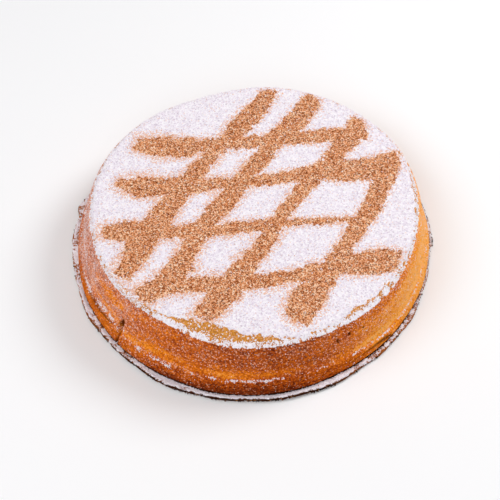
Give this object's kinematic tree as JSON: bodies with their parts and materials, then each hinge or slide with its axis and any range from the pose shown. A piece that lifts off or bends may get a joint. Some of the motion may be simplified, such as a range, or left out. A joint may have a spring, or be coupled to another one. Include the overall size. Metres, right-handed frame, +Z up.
{
  "type": "baked cassata",
  "caption": "Round baked ricotta cake in a pastry case, wider at the foot, dusted with icing sugar and a lattice of cinnamon stripes.",
  "frame": {"origin": "centre of the underside, on the surface that the cake stands on", "axes": "+Z up; -Y towards the viewer of the picture, where the bare edge of the top shows; +X to the viewer's right"},
  "size_m": [0.2433, 0.2431, 0.0432],
  "materials": {
    "sheet_pastry": "thin browned pastry, dusted white at its edge",
    "crust": "golden to red-brown baked crust with a fine dusting of sugar",
    "icing_sugar": "matt sifted powder with small clumps",
    "cinnamon": "matt sifted spice, grainy with feathered edges"
  },
  "bodies": {
    "root": {"pastry_sheet": "sheet_pastry", "cake": "crust", "icing_sugar": "icing_sugar", "cinnamon_lattice": "cinnamon"}
  },
  "joints": []
}
